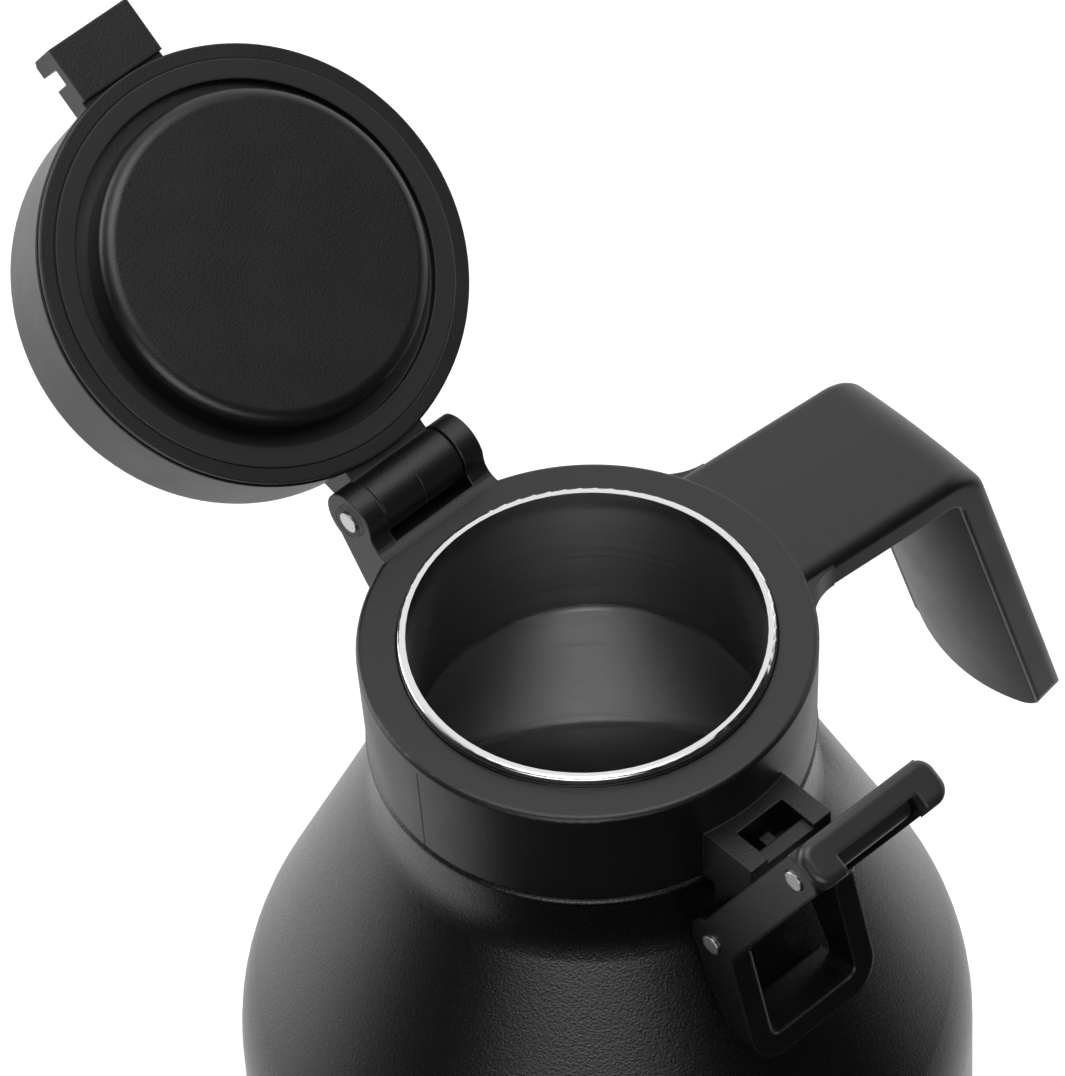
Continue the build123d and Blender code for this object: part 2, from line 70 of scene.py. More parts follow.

# A sharp edge is painted paler as a painted highlight, and made glossier, from the first of these on and fully at the
# second: the cosine of its turn from the face.
SHARP_EDGE_FROM, SHARP_EDGE_TO = 0.98, 0.8
EDGE_HIGHLIGHT_GAIN, EDGE_HIGHLIGHT_LIFT = 2.5, 0.01  # the painted highlight makes an edge so many times as bright as the face, and so much more
RUBBED_GLOSS = 0.7  # and a sharp edge has this share of the face's roughness
CLOUD_SIZE = 12 * MM  # a moulding is duller and glossier in clouds of this width
CLOUD_SPREAD = 0.06  # by this much roughness
EDGE_SAMPLES = 6
JOINT_REACH = 2.5  # an edge stays flat for so many of its radii each side of a joint
QUARTER_TURN = 0.25

LIP_STEPS = 144  # sides of the shell's lip
HOOP_STEPS = 72  # sides of a ring round the hinge

# How bright the studio looks in a gloss, by how far a direction points the named way: 0 is away, 1 is straight.
SWEEP_BEHIND = ((0.0, 0.01), (0.4, 0.02), (0.52, 0.1), (0.64, 0.6), (0.8, 1.15))
WINDOW_BEFORE = ((0.89, 0.0), (0.93, 0.9), (0.965, 3.0), (1.0, 4.0))
SOFTBOX_ABOVE = ((0.86, 0.0), (0.9, 0.35), (0.94, 1.0), (1.0, 1.6))
TABLE_NEAR = ((0.0, 0.01), (0.32, 0.03), (0.42, 0.7), (0.62, 0.95))
TABLE_FADE = 0.6  # share of the table's radius from which it fades into the far floor
FLOOR_LIFT = 0.5  # what the floor adds for the camera, so that it's white and still takes the shadow

# Where the lamps stand from the middle of the mouth, and their widths and heights, all in metres.
TOP_LAMP_ABOVE = 0.95
SIDE_LAMP_OUT = 1.1
SIDE_LAMP_BEHIND = 0.5
TOP_LAMP_SIZE = (0.6, 0.6)
SIDE_LAMP_SIZE = (0.8, 1.2)


def linear(code):
    """An sRGB hex colour as linear red, green and blue."""
    parts = [int(code[i:i + 2], 16) / 255 for i in (1, 3, 5)]
    return tuple(c / 12.92 if c <= 0.04045 else ((c + 0.055) / 1.055) ** 2.4 for c in parts)


def colour_property(name, description, code):
    return FloatVectorProperty(name=name, description=description, subtype="COLOR", size=3, min=0, max=1,
                               default=linear(code))


def length_property(name, description, millimetres):
    return FloatProperty(name=name, description=description, default=millimetres * MM, min=0,
                         subtype="DISTANCE", unit="LENGTH")


def angle_property(name, description, degrees):
    return FloatProperty(name=name, description=description, default=math.radians(degrees),
                         subtype="ANGLE", unit="ROTATION")


def power_property(name, description, watts):
    return FloatProperty(name=name, description=description, default=watts, min=0, subtype="POWER", unit="POWER")


class GrowlerFinishes(bpy.types.PropertyGroup):
    """Colours and grains of the growler's finishes, and sizes of its small moulded details.

    The real grains, turned lines and flash are too fine to show in the picture: the coat's bumps are about 0.15 mm
    wide, the moulds' grain 0.1 mm, and the turned lines and the flash 0.05 mm. Each is drawn as coarse as it needs
    to be to show.
    """
    coat_colour: colour_property("Powder coat", "Colour of the baked coat on the shell", "#0d0d0e")
    coat_grain: length_property("Coat grain", "Width of one bump of the powder coat", 0.48)
    lip_round: length_property("Lip round", "Radius of the shell's lip under the collar as the light sees it", 0.9)
    steel_colour: colour_property("Stainless steel", "Colour of the brushed liner and rim", "#d6d6d6")
    brush_pitch: length_property("Brush pitch", "Distance between turned lines on the liner", 0.25)
    moulding_colour: colour_property("Moulded plastic", "Colour of collar, handle, cap and lever", "#0e0e0f")
    moulding_grain: length_property("Moulding grain", "Width of one bump of the eroded mould finish", 0.45)
    edge_round: length_property("Edge round", "Radius of a moulded edge as the light sees it", 0.5)
    lever_edge_round: length_property("Lever edge round", "Radius of the latch's edges as the light sees them", 0.9)
    grip_colour: colour_property("Grip insert", "Colour of the insert in the handle", "#151516")
    lid_colour: colour_property("Lid plastic", "Colour of the lid's base and plug", "#0f0f10")
    silicone_colour: colour_property("Silicone", "Colour of gasket and seal", "#0c0c0d")
    clasp_colour: colour_property("Polished plastic", "Colour of the clasp", "#29292a")
    pin_colour: colour_property("Pin steel", "Colour of the pins' ends", "#d4d4d2")
    flash_colour: colour_property("Flash", "Colour of the lines left by the moulds", "#2c2c2d")
    flash_thickness: length_property("Flash thickness", "Width of a line left by a mould", 0.16)
    lid_gap: length_property("Lid gap", "From the ring to the underside of the closed lid", 1.1)
    tab_reach: length_property("Tab reach", "From the vessel's axis to the end of the closed lid's tab", 50.8)
    tab_line_length: length_property("Tab line length", "Length of the mould's line along the tab", 4.6)
    lip_radius: length_property("Lip radius", "Radius of the shell's lip under the collar", 38.45)
    lip_thickness: length_property("Lip thickness", "Width of the shell's lip under the collar", 2.2)
    lip_drop: length_property("Lip drop", "From the ring down to the middle of the shell's lip", 24.15)
    knuckle_radius: length_property("Knuckle radius", "Radius of the lid's hinge knuckle", 5.3)
    ear_ring_radius: length_property("Ear ring radius", "Radius of the ring round each end of the hinge pin", 3.1)


class GrowlerStudio(bpy.types.PropertyGroup):
    """Camera, floor and lamps."""
    azimuth: angle_property("Azimuth", "Direction of view round the growler", 40.194)
    elevation: angle_property("Elevation", "Height of the view above the horizon", 49.64)
    roll: angle_property("Roll", "Turn of the camera about its own line of sight", -3.438)
    distance: length_property("Distance", "From the camera to the plane through the mouth", 1400)
    focal_pixels: FloatProperty(name="Focal length in pixels", description="Of the photograph's own frame",
                                default=8134, min=1)
    mouth_column: FloatProperty(name="Mouth column", description="Where the mouth's centre lies, from the left",
                                default=587.146)
    mouth_row: FloatProperty(name="Mouth row", description="Where the mouth's centre lies, from the top",
                             default=637.722)
    ring_height: length_property("Ring height", "Top of the collar above the floor", 240)
    floor_colour: colour_property("Floor", "Colour of the studio floor", "#f2f2f2")
    floor_size: length_property("Floor size", "Side of the square floor", 8000)
    sweep_turn: angle_property("Sweep turn", "How far left of the view the bright sweep lies", 16)
    window_turn: angle_property("Window turn", "How far left of the view the room's window lies", 10)
    table_radius: length_property("Table", "Radius of the part of the floor that gloss sees as white", 450)
    fill: FloatProperty(name="Fill", description="Light from all round on matte surfaces", default=0.45, min=0)
    top_power: power_property("Top lamp", "Power of the lamp overhead", 3)
    left_power: power_property("Left lamp", "Power of the lamp to the left", 8.5)
    right_power: power_property("Right lamp", "Power of the lamp to the right", 3)


def finishes():
    return bpy.context.scene.growler_finishes


def studio():
    return bpy.context.scene.growler_studio


# A Mix node has A and B at inputs 2 and 3 and its result at output 0 for numbers. For vectors they are at 4, 5 and 1,
# and for colours at 6, 7 and 2.
def add(tree, kind, inputs=None, **settings):
    """Adds a node, sets its properties, and links or fills the inputs given by name or number."""
    made = tree.nodes.new(kind)
    for key, value in settings.items():
        setattr(made, key, value)
    for key, value in (inputs or {}).items():
        if isinstance(value, bpy.types.NodeSocket):
            tree.links.new(value, made.inputs[key])
        else:
            made.inputs[key].default_value = value
    return made


def new_finish(name, colour, roughness, metallic=0.0):
    """A material with one shader. Returns the material, its node tree and the shader."""
    material = bpy.data.materials.new(name)
    material.use_nodes = True
    tree = material.node_tree
    tree.nodes.clear()
    shader = add(tree, "ShaderNodeBsdfPrincipled",
                 {"Base Color": (*colour, 1), "Roughness": roughness, "Metallic": metallic})
    if not metallic:
        shader.inputs["IOR"].default_value = PLASTIC_IOR
    add(tree, "ShaderNodeOutputMaterial", {"Surface": shader.outputs["BSDF"]})
    material.diffuse_color = (*colour, 1)
    return material, tree, shader


def grain(tree, size, detail=2.0):
    """Noise whose bumps are about size metres wide, in the piece's own space."""
    place = add(tree, "ShaderNodeTexCoord")
    return add(tree, "ShaderNodeTexNoise",
               {"Vector": place.outputs["Object"], "Scale": 1 / size, "Detail": detail, "Roughness": 0.6})


def edge_normal(tree, edge, joint=None):
    """The normal of an edge that the light sees as rounded, left flat beside a joint at joint metres along X."""
    rounded = add(tree, "ShaderNodeBevel", {"Radius": edge}, samples=EDGE_SAMPLES)
    if joint is None:
        return rounded.outputs["Normal"]
    flat = add(tree, "ShaderNodeNewGeometry")
    place = add(tree, "ShaderNodeTexCoord")
    parts = add(tree, "ShaderNodeSeparateXYZ", {"Vector": place.outputs["Object"]})
    near = add(tree, "ShaderNodeMath", {0: parts.outputs["X"], 1: joint, 2: JOINT_REACH * edge}, operation="COMPARE")
    chosen = add(tree, "ShaderNodeMix", {0: near.outputs["Value"], 4: rounded.outputs["Normal"],
                                         5: flat.outputs["Normal"]}, data_type="VECTOR")
    return chosen.outputs[1]


def relief(tree, shader, height, depth, normal=None):
    """Turns a height from 0 to 1 into bumps of a depth in metres, on a normal of their own or the mesh's."""
    inputs = {"Height": height, "Strength": 1.0, "Distance": depth}
    if normal:
        inputs["Normal"] = normal
    bump = add(tree, "ShaderNodeBump", inputs)
    tree.links.new(bump.outputs["Normal"], shader.inputs["Normal"])


def sharp_edges(tree, normal):
    """0 on a face and 1 on a sharp edge, where edges get less roughness, and a moulding's edges a painted highlight as
    well.
    """
    flat = add(tree, "ShaderNodeNewGeometry")
    same = add(tree, "ShaderNodeVectorMath", {0: normal, 1: flat.outputs["Normal"]}, operation="DOT_PRODUCT")
    shading_factor = add(tree, "ShaderNodeMapRange",
               {"Value": same.outputs["Value"], "From Min": SHARP_EDGE_FROM, "From Max": SHARP_EDGE_TO})
    return shading_factor.outputs["Result"]


def rubbed_gloss(tree, shader, pattern, shading_factor, low, high, polished):
    """Lets the roughness follow a pattern between two values, and gives sharp edges one of their own."""
    dull = add(tree, "ShaderNodeMapRange", {"Value": pattern, "To Min": low, "To Max": high})
    smooth = add(tree, "ShaderNodeMix", {0: shading_factor, 2: dull.outputs["Result"], 3: polished}, data_type="FLOAT")
    tree.links.new(smooth.outputs[0], shader.inputs["Roughness"])


def level(tree, along, stops):
    """A brightness that follows the stops, which are pairs of a place from 0 to 1 and the brightness there."""
    ramp = add(tree, "ShaderNodeValToRGB", {"Fac": along})
    ramp.color_ramp.interpolation = "EASE"
    while len(ramp.color_ramp.elements) < len(stops):
        ramp.color_ramp.elements.new(0.5)
    for element, (place, bright) in zip(ramp.color_ramp.elements, stops):
        element.position = place
        element.color = (bright, bright, bright, 1)
    return ramp.outputs["Color"]


def dress(material, *names):
    """Gives CAD nodes a finish, whatever slots they have."""
    for name in names:
        mesh = NODES[name].data
        if not mesh.materials:
            mesh.materials.append(material)
        for index in range(len(mesh.materials)):
            mesh.materials[index] = material


def powder_coat():
    """Polyester powder, melted and baked on the shell.

    Its grains melt into a fine orange peel. A light on it spreads into a wide soft patch that is broken up by
    pin-point glints, and the coat runs thin and smooth over the lip.
    """
    look = finishes()
    material, tree, shader = new_finish("Polyester powder coat, baked", look.coat_colour, roughness=0.28)
    bumps = grain(tree, look.coat_grain)
    rounded = edge_normal(tree, look.lip_round)
    relief(tree, shader, bumps.outputs["Fac"], depth=0.08 * MM, normal=rounded)
    fine = grain(tree, look.coat_grain / 2, detail=1.0)
    rubbed_gloss(tree, shader, fine.outputs["Fac"], sharp_edges(tree, rounded), low=0.18, high=0.38, polished=0.25)
    return material


def turned_steel():
    """Stainless steel, drawn and turned, and polished at the rolled rim.

    The turned lines run round the axis and draw each reflection out across them. The deep cylinder is smooth, mirrors
    the dark inside and has its colour halved as painted shade; the cone is matte and pale at full colour, the neck has
    streaks, and the rim shows a clear white line.
    """
    look = finishes()
    material, tree, shader = new_finish("Stainless steel, turned and brushed", look.steel_colour, roughness=0.25,
                                        metallic=1.0)
    shader.inputs["Anisotropic Rotation"].default_value = QUARTER_TURN
    rings = add(tree, "ShaderNodeTangent", direction_type="RADIAL", axis="Z")
    tree.links.new(rings.outputs["Tangent"], shader.inputs["Tangent"])
    place = add(tree, "ShaderNodeTexCoord")
    parts = add(tree, "ShaderNodeSeparateXYZ", {"Vector": place.outputs["Object"]})
    flat = add(tree, "ShaderNodeVectorMath", {0: place.outputs["Object"], 1: (1, 1, 0)}, operation="MULTIPLY")
    radius = add(tree, "ShaderNodeVectorMath", {0: flat.outputs["Vector"]}, operation="LENGTH")
    along = add(tree, "ShaderNodeMath", {0: parts.outputs["Z"], 1: radius.outputs["Value"]}, operation="ADD")
    unrolled = add(tree, "ShaderNodeCombineXYZ",
                   {"X": parts.outputs["X"], "Y": parts.outputs["Y"], "Z": along.outputs["Value"]})
    stretch = (1 / BRUSHED_RUN, 1 / BRUSHED_RUN, 1 / look.brush_pitch)
    stretched = add(tree, "ShaderNodeVectorMath", {0: unrolled.outputs["Vector"], 1: stretch}, operation="MULTIPLY")
    lines = add(tree, "ShaderNodeTexNoise",
                {"Vector": stretched.outputs["Vector"], "Scale": 1.0, "Detail": 4.0, "Roughness": 0.7})
    relief(tree, shader, lines.outputs["Fac"], depth=0.006 * MM)
    zones = add(tree, "ShaderNodeMapRange", {"Value": parts.outputs["Z"], "From Max": studio().ring_height})
    height = zones.outputs["Result"]
    brushed = add(tree, "ShaderNodeMapRange", {"Value": lines.outputs["Fac"], "To Min": 0.7, "To Max": 1.3})
    shading_factor = add(tree, "ShaderNodeMath", {0: brushed.outputs["Result"], 1: level(tree, height, LINER_ROUGHNESS)},
               operation="MULTIPLY")
    tree.links.new(shading_factor.outputs["Value"], shader.inputs["Roughness"])
    tree.links.new(level(tree, height, LINER_STRETCH), shader.inputs["Anisotropic"])
    # Painted shade: the steel's colour is halved down the deep cylinder.
    bright = level(tree, height, LINER_PAINTED_SHADE)
    coloured = add(tree, "ShaderNodeMix", {0: 1.0, 6: (*look.steel_colour, 1), 7: bright}, data_type="RGBA",
                   blend_type="MULTIPLY")
    tree.links.new(coloured.outputs[2], shader.inputs["Base Color"])
    return material


def moulded(name, colour, size, depth, rough, edge, joint=None):
    """An injection moulding, with the grain that an eroded mould leaves on it, and sharp edges made smoother and
    painted paler as a painted highlight.
    """
    material, tree, shader = new_finish(name, colour, rough)
    bumps = grain(tree, size)
    rounded = edge_normal(tree, edge, joint)
    relief(tree, shader, bumps.outputs["Fac"], depth, rounded)
    shading_factor = sharp_edges(tree, rounded)
    # Sharp edges are painted paler: a painted highlight along every moulded edge.
    pale = tuple(min(1.0, EDGE_HIGHLIGHT_GAIN * c + EDGE_HIGHLIGHT_LIFT) for c in colour)
    painted_edge_highlight = add(tree, "ShaderNodeMix", {0: shading_factor, 6: (*colour, 1), 7: (*pale, 1)}, data_type="RGBA")
    tree.links.new(painted_edge_highlight.outputs[2], shader.inputs["Base Color"])
    clouds = grain(tree, CLOUD_SIZE)
    rubbed_gloss(tree, shader, clouds.outputs["Fac"], shading_factor, low=rough - CLOUD_SPREAD, high=rough + CLOUD_SPREAD,
                 polished=RUBBED_GLOSS * rough)
    return material


def pin_steel():
    """Stainless wire, cut to length and tumbled. Its ends are left with small dents, so that they glint unevenly."""
    look = finishes()
    material, tree, shader = new_finish("Stainless steel, cut and tumbled", look.pin_colour, roughness=0.3,
                                        metallic=1.0)
    dents = grain(tree, 0.8 * MM, detail=3.0)
    relief(tree, shader, dents.outputs["Fac"], depth=0.12 * MM, normal=edge_normal(tree, 0.35 * MM))
    dull = add(tree, "ShaderNodeMapRange", {"Value": dents.outputs["Fac"], "To Min": 0.2, "To Max": 0.45})
    tree.links.new(dull.outputs["Result"], shader.inputs["Roughness"])
    return material


def turns(count):
    """Angles of the corners of a ring."""
    return [2 * math.pi * i / count for i in range(count)]


def raised_line(name, points, thick, closed, material, body):
    """A thin round line that a mould or a press leaves, along points in metres."""
    curve = bpy.data.curves.new(name, "CURVE")
    curve.dimensions = "3D"
    curve.bevel_depth = thick / 2
    curve.bevel_resolution = 2
    curve.use_fill_caps = not closed
    spline = curve.splines.new("POLY")
    spline.points.add(len(points) - 1)
    for point, place in zip(spline.points, points):
        point.co = (*place, 1)
    spline.use_cyclic_u = closed
    line = bpy.data.objects.new(name, curve)
    bpy.context.collection.objects.link(line)
    curve.materials.append(material)
    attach(line, body)


class GROWLER_OT_shell(bpy.types.Operator):
    """Finish the powder-coated shell and add its rounded lip under the collar"""
    bl_idname = "growler.shell"
    bl_label = "Shell"

    def execute(self, context):
        look = finishes()
        coat = powder_coat()
        dress(coat, "outer_shell")
        height = studio().ring_height - look.lip_drop
        ring = [(look.lip_radius * math.cos(t), look.lip_radius * math.sin(t), height) for t in turns(LIP_STEPS)]
        raised_line("shell_lip", ring, look.lip_thickness, True, coat, "flask")
        return {"FINISHED"}


class GROWLER_OT_liner(bpy.types.Operator):
    """Finish the steel liner with its rolled rim, the base disc and the seal bead"""
    bl_idname = "growler.liner"
    bl_label = "Liner"

    def execute(self, context):
        dress(turned_steel(), "inner_liner", "base_disc", "vacuum_seal")
        return {"FINISHED"}


class GROWLER_OT_collar(bpy.types.Operator):
    """Finish the collar and the handle, which have one grain"""
    bl_idname = "growler.collar"
    bl_label = "Collar and handle"

    def execute(self, context):
        look = finishes()
        # An eroded mould leaves an even grain, which greys the plastic and spreads each highlight.
        grained = moulded("Polypropylene, moulded with a fine grain", look.moulding_colour,
                          size=look.moulding_grain, depth=0.05 * MM, rough=0.4, edge=look.edge_round,
                          joint=HANDLE_JOINT)
        dress(grained, "collar", "handle")
        return {"FINISHED"}


class GROWLER_OT_grip(bpy.types.Operator):
    """Finish the smoother insert of the grip"""
    bl_idname = "growler.grip"
    bl_label = "Grip insert"

    def execute(self, context):
        look = finishes()
        # The soft elastomer fills its mould closely, so it's smoother and a little paler than the collar.
        soft = moulded("Thermoplastic elastomer, moulded smooth", look.grip_colour,
                       size=look.moulding_grain, depth=0.03 * MM, rough=0.42, edge=look.edge_round)
        dress(soft, "handle_grip")
        return {"FINISHED"}


class GROWLER_OT_lid(bpy.types.Operator):
    """Finish the lid's cap, base and plug"""
    bl_idname = "growler.lid"
    bl_label = "Lid"

    def execute(self, context):
        look = finishes()
        # The cap's grain is shallower than the collar's, so its side takes a clearer sheen.
        cap = moulded("Polypropylene, moulded with a satin grain", look.moulding_colour,
                      size=look.moulding_grain, depth=0.04 * MM, rough=0.4, edge=look.edge_round)
        # What faces the drink is moulded smooth for washing, and its rounded steps show soft bright bands.
        inside = moulded("Polypropylene, moulded smooth", look.lid_colour,
                         size=look.moulding_grain, depth=0.03 * MM, rough=0.36, edge=look.edge_round)
        dress(cap, "lid_cap")
        dress(inside, "lid_base", "lid_plug", "lid_insulation")
        return {"FINISHED"}


class GROWLER_OT_seals(bpy.types.Operator):
    """Finish the gasket and the collar's seal"""
    bl_idname = "growler.seals"
    bl_label = "Seals"

    def execute(self, context):
        look = finishes()
        # Pressed silicone is the dullest surface here, a dark ring with hardly a highlight.
        rubber = moulded("Silicone rubber, pressed", look.silicone_colour,
                         size=0.8 * MM, depth=0.03 * MM, rough=0.55, edge=look.edge_round)
        dress(rubber, "lid_gasket", "collar_seal")
        return {"FINISHED"}


class GROWLER_OT_latch(bpy.types.Operator):
    """Finish the latch lever and its polished clasp"""
    bl_idname = "growler.latch"
    bl_label = "Latch"

    def execute(self, context):
        look = finishes()
        # Acetal is hard and a little oily to the eye, so the lever's rounded edges catch thin lights, with the painted
        # highlight of every moulded edge on top.
        lever = moulded("Acetal, moulded with a fine grain", look.moulding_colour,
                        size=look.moulding_grain, depth=0.04 * MM, rough=0.28, edge=look.lever_edge_round)
        # A polished mould gives the clasp broad reflections, which the plastic's shrinking makes slightly wavy.
        clasp = moulded("ABS, moulded against a polished face", look.clasp_colour,
                        size=3 * MM, depth=0.02 * MM, rough=0.34, edge=look.lever_edge_round)
        dress(lever, "latch_lever")
        dress(clasp, "latch_clasp")
        return {"FINISHED"}


class GROWLER_OT_pins(bpy.types.Operator):
    """Finish the three steel pins"""
    bl_idname = "growler.pins"
    bl_label = "Pins"

    def execute(self, context):
        dress(pin_steel(), "hinge_pin", "latch_pin_lower", "latch_pin_upper")
        return {"FINISHED"}


def hinge_place():
    """Where the lid's hinge is along Y and Z."""
    low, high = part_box("hinge_pin")
    return (low[1] + high[1]) / 2, (low[2] + high[2]) / 2


def hinge_ring(x, radius):
    """Points of a circle round the lid's hinge."""
    y, z = hinge_place()
    return [(x, y + radius * math.cos(t), z + radius * math.sin(t)) for t in turns(HOOP_STEPS)]


def swung(y, z):
    """Where a point of the closed lid, on its middle, is with the lid open."""
    hinge_y, hinge_z = hinge_place()
    joint = next(j for j in frame["record"]["behaviour"]["joints"] if j["child"] == "lid")
    turn = -math.radians(joint["range_deg"][1])
    y, z = y - hinge_y, z - hinge_z
    return (0, hinge_y + y * math.cos(turn) - z * math.sin(turn), hinge_z + y * math.sin(turn) + z * math.cos(turn))


def down_collar(top, radius):
    """Points down the collar's left side, a millimetre apart on its surface, from a height to where the side ends."""
    most, fewest = 60, 10
    inner = 0.95 * radius
    points = []
    for i in range(most):
        start = Vector((-2 * radius, 0, top - i * MM))
        hit, place, _, _ = NODES["collar"].ray_cast(start, Vector((1, 0, 0)))
        if not hit or -place.x < inner:
            break
        points.append(tuple(place))
    if len(points) < fewest:
        raise RuntimeError("The collar's side wasn't found")
    return points


class GROWLER_OT_mould_marks(bpy.types.Operator):
    """Draw the fine raised lines that the moulds leave on the collar, the ears, the knuckle and the catch tab"""
    bl_idname = "growler.mould_marks"
    bl_label = "Mould marks"

    def execute(self, context):
        look = finishes()
        # Flash is a thin fin where two parts of a mould meet. Trimmed and rubbed, it's paler than the faces beside it.
        flash = moulded("Polypropylene, trimmed at the mould's joint", look.flash_colour,
                        size=look.moulding_grain, depth=0.02 * MM, rough=0.35, edge=look.edge_round)
        thick = look.flash_thickness
        raised_line("knuckle_line", hinge_ring(0, look.knuckle_radius), thick, True, flash, "lid")
        pin_low, pin_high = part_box("hinge_pin")
        for side, end in (("left", pin_low[0]), ("right", pin_high[0])):
            raised_line("ear_ring_" + side, hinge_ring(end, look.ear_ring_radius), thick, True, flash, "flask")
        below_edge = 2.5 * MM
        collar_side = down_collar(studio().ring_height - below_edge, -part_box("collar")[0][0])
        raised_line("collar_line", collar_side, thick, False, flash, "flask")
        under = studio().ring_height + look.lid_gap
        tab_end = -look.tab_reach
        inset = 0.3 * MM
        tab_line = [swung(tab_end + inset, under), swung(tab_end + look.tab_line_length, under)]
        raised_line("tab_line", tab_line, thick, False, flash, "lid")
        return {"FINISHED"}


def camera_axes(azimuth, elevation, roll):
    """Right, up and forward of a camera that looks along the azimuth and down by the elevation."""
    forward = Vector((math.sin(azimuth) * math.cos(elevation), math.cos(azimuth) * math.cos(elevation),
                      -math.sin(elevation)))
    across = Vector((math.cos(azimuth), -math.sin(azimuth), 0))
    upright = across.cross(forward)
    right = math.cos(roll) * across + math.sin(roll) * upright
    up = -math.sin(roll) * across + math.cos(roll) * upright
    return right, up, forward


def photo_camera():
    """The camera from which the photograph was taken."""
    view = studio()
    right, up, forward = camera_axes(view.azimuth, view.elevation, view.roll)
    across = (view.mouth_column - PHOTO_WIDTH / 2) / view.focal_pixels * view.distance
    above = -(view.mouth_row - PHOTO_HEIGHT / 2) / view.focal_pixels * view.distance
    mouth = Vector((0, 0, view.ring_height))
    data = bpy.data.cameras.new("Photo camera")
    data.sensor_width = SENSOR_WIDTH
    data.lens = view.focal_pixels * data.sensor_width / max(PHOTO_WIDTH, PHOTO_HEIGHT)
    data.clip_start = 10 * MM
    camera = bpy.data.objects.new("Photo camera", data)
    camera.matrix_world = Matrix((
        (right.x, up.x, -forward.x, 0), (right.y, up.y, -forward.y, 0), (right.z, up.z, -forward.z, 0), (0, 0, 0, 1)))
    camera.location = mouth - across * right - above * up - view.distance * forward
    bpy.context.collection.objects.link(camera)
    bpy.context.scene.camera = camera


def towards(tree, vector, way):
    """0 where a unit vector points away from the way, 1 where it points along it."""
    facing = add(tree, "ShaderNodeVectorMath", {0: vector, 1: way}, operation="DOT_PRODUCT")
    share = add(tree, "ShaderNodeMapRange", {"Value": facing.outputs["Value"], "From Min": -1.0, "From Max": 1.0})
    return share.outputs["Result"]


def sweep_way():
    """Along the floor to the bright sweep behind the growler."""
    turn = studio().azimuth - studio().sweep_turn
    return (math.sin(turn), math.cos(turn), 0)


def window_way():
    """Along the floor to the pale end of the room before the growler."""
    turn = studio().azimuth + studio().window_turn
    return (-math.sin(turn), -math.cos(turn), 0)


def studio_glow(tree, vector):
    """The brightest of the sweep, the window and the softbox in a direction."""
    glow = level(tree, towards(tree, vector, sweep_way()), SWEEP_BEHIND)
    for way, stops in ((window_way(), WINDOW_BEFORE), ((0, 0, 1), SOFTBOX_ABOVE)):
        light = level(tree, towards(tree, vector, way), stops)
        both = add(tree, "ShaderNodeMix", {0: 1.0, 6: glow, 7: light}, data_type="RGBA", blend_type="LIGHTEN")
        glow = both.outputs[2]
    return glow


def ray_kinds(tree):
    """1 for rays that should meet the white background, from the camera or through glass, and 1 for glossy rays."""
    path = add(tree, "ShaderNodeLightPath")
    seen = add(tree, "ShaderNodeMath", {0: path.outputs["Is Camera Ray"], 1: path.outputs["Is Transmission Ray"]},
               operation="MAXIMUM")
    return seen.outputs["Value"], path.outputs["Is Glossy Ray"]


def studio_world():
    """Even light for matte surfaces, a studio for gloss, and white for the camera."""
    world = bpy.data.worlds.new("Studio")
    bpy.context.scene.world = world
    world.use_nodes = True
    tree = world.node_tree
    tree.nodes.clear()
    place = add(tree, "ShaderNodeTexCoord")
    camera, glossy = ray_kinds(tree)
    soft = studio().fill
    fill = add(tree, "ShaderNodeBackground", {"Color": (soft, soft, soft, 1)})
    gloss = add(tree, "ShaderNodeBackground", {"Color": studio_glow(tree, place.outputs["Generated"])})
    white = add(tree, "ShaderNodeBackground", {"Color": (1, 1, 1, 1)})
    first = add(tree, "ShaderNodeMixShader", {0: glossy, 1: fill.outputs[0], 2: gloss.outputs[0]})
    last = add(tree, "ShaderNodeMixShader", {0: camera, 1: first.outputs[0], 2: white.outputs[0]})
    add(tree, "ShaderNodeOutputWorld", {"Surface": last.outputs[0]})


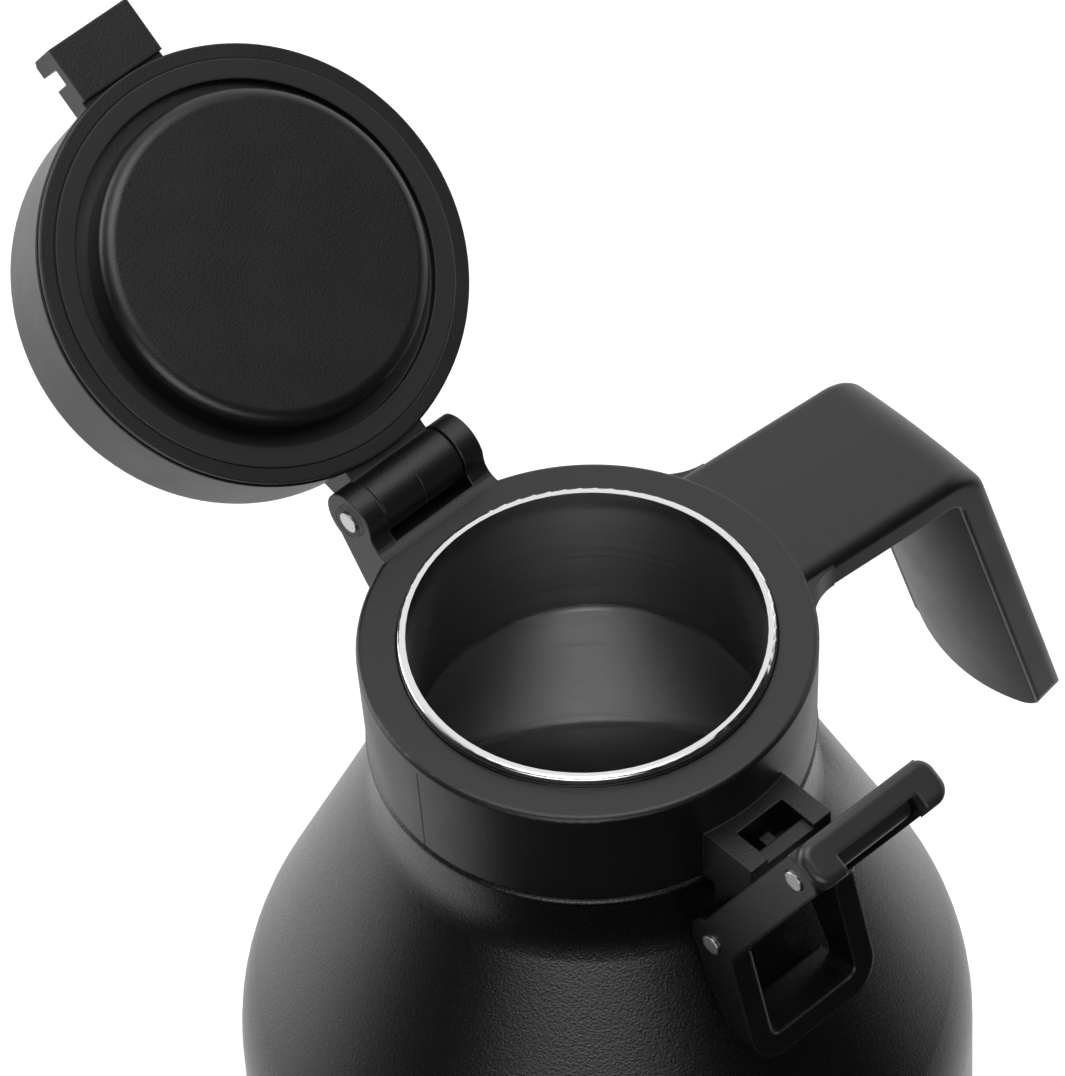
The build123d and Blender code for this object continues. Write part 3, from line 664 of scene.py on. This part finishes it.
def studio_floor():
    """A matte floor that the camera sees as white with a soft shadow, and gloss sees as a table in a dim room."""
    mesh = bpy.data.meshes.new("Floor")
    build = bmesh.new()
    bmesh.ops.create_grid(build, x_segments=4, y_segments=4, size=studio().floor_size / 2)
    build.to_mesh(mesh)
    build.free()
    floor = bpy.data.objects.new("Floor", mesh)
    bpy.context.collection.objects.link(floor)
    # Uncoated paper has no sheen, so nothing but the shadow shows on it.
    material, tree, shader = new_finish("Paper, matte white", studio().floor_colour, roughness=0.9)
    place = add(tree, "ShaderNodeTexCoord")
    unit = add(tree, "ShaderNodeVectorMath", {0: place.outputs["Object"]}, operation="NORMALIZE")
    facing = towards(tree, unit.outputs["Vector"], sweep_way())
    reach = add(tree, "ShaderNodeVectorMath", {0: place.outputs["Object"]}, operation="LENGTH")
    edge = studio().table_radius
    past = add(tree, "ShaderNodeMapRange",
               {"Value": reach.outputs["Value"], "From Min": TABLE_FADE * edge, "From Max": edge})
    table = add(tree, "ShaderNodeMix", {0: past.outputs["Result"], 6: level(tree, facing, TABLE_NEAR),
                                        7: level(tree, facing, SWEEP_BEHIND)}, data_type="RGBA")
    camera, glossy = ray_kinds(tree)
    shine = add(tree, "ShaderNodeEmission", {"Color": table.outputs[2]})
    lift = add(tree, "ShaderNodeEmission", {"Color": (1, 1, 1, 1), "Strength": FLOOR_LIFT})
    dark = add(tree, "ShaderNodeMixShader", {0: glossy, 1: shader.outputs[0], 2: shine.outputs[0]})
    bright = add(tree, "ShaderNodeAddShader", {0: shader.outputs[0], 1: lift.outputs[0]})
    last = add(tree, "ShaderNodeMixShader", {0: camera, 1: dark.outputs[0], 2: bright.outputs[0]})
    output = next(n for n in tree.nodes if n.type == "OUTPUT_MATERIAL")
    tree.links.new(last.outputs[0], output.inputs["Surface"])
    mesh.materials.append(material)


def soft_lamp(name, place, aim, size, power):
    """A rectangular lamp at a place, turned to what it lights."""
    data = bpy.data.lights.new(name, "AREA")
    data.shape = "RECTANGLE"
    data.size, data.size_y = size
    data.energy = power
    lamp = bpy.data.objects.new(name, data)
    lamp.location = place
    lamp.rotation_euler = (aim - place).to_track_quat("-Z", "Y").to_euler()
    bpy.context.collection.objects.link(lamp)


class GROWLER_OT_stage(bpy.types.Operator):
    """Make the floor, the surroundings, the lamps and the camera"""
    bl_idname = "growler.stage"
    bl_label = "Studio"

    def execute(self, context):
        view = studio()
        context.scene.view_settings.view_transform = "Standard"
        photo_camera()
        studio_world()
        studio_floor()
        right, _, forward = camera_axes(view.azimuth, 0, 0)
        mouth = Vector((0, 0, view.ring_height))
        above = Vector((0, 0, TOP_LAMP_ABOVE))
        aside, behind = SIDE_LAMP_OUT * right, SIDE_LAMP_BEHIND * forward
        soft_lamp("Top lamp", mouth + above, mouth, TOP_LAMP_SIZE, view.top_power)
        soft_lamp("Left lamp", mouth - aside + behind, mouth, SIDE_LAMP_SIZE, view.left_power)
        soft_lamp("Right lamp", mouth + aside + behind, mouth, SIDE_LAMP_SIZE, view.right_power)
        return {"FINISHED"}


class GROWLER_PT_panel(bpy.types.Panel):
    """The growler's sizes, colours and pieces"""
    bl_idname = "GROWLER_PT_panel"
    bl_label = "Growler"
    bl_space_type = "VIEW_3D"
    bl_region_type = "UI"
    bl_category = "Growler"

    def draw(self, context):
        for settings in (context.scene.growler_finishes, context.scene.growler_studio):
            box = self.layout.box()
            for name in settings.__annotations__:
                box.prop(settings, name)
        for operator in OPERATORS:
            self.layout.operator(operator.bl_idname)


OPERATORS = (GROWLER_OT_shell, GROWLER_OT_liner, GROWLER_OT_collar, GROWLER_OT_grip, GROWLER_OT_lid,
             GROWLER_OT_seals, GROWLER_OT_latch, GROWLER_OT_pins, GROWLER_OT_mould_marks, GROWLER_OT_stage)
CLASSES = (GrowlerFinishes, GrowlerStudio, *OPERATORS, GROWLER_PT_panel)


def register():
    for cls in CLASSES:
        bpy.utils.register_class(cls)
    bpy.types.Scene.growler_finishes = PointerProperty(type=GrowlerFinishes)
    bpy.types.Scene.growler_studio = PointerProperty(type=GrowlerStudio)


def unregister():
    del bpy.types.Scene.growler_studio
    del bpy.types.Scene.growler_finishes
    for cls in reversed(CLASSES):
        bpy.utils.unregister_class(cls)


def main():
    """Makes every piece and the studio."""
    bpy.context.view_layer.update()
    register()
    bpy.ops.growler.shell()
    bpy.ops.growler.liner()
    bpy.ops.growler.collar()
    bpy.ops.growler.grip()
    bpy.ops.growler.lid()
    bpy.ops.growler.seals()
    bpy.ops.growler.latch()
    bpy.ops.growler.pins()
    bpy.ops.growler.mould_marks()
    bpy.ops.growler.stage()


if __name__ == "__main__":
    main()
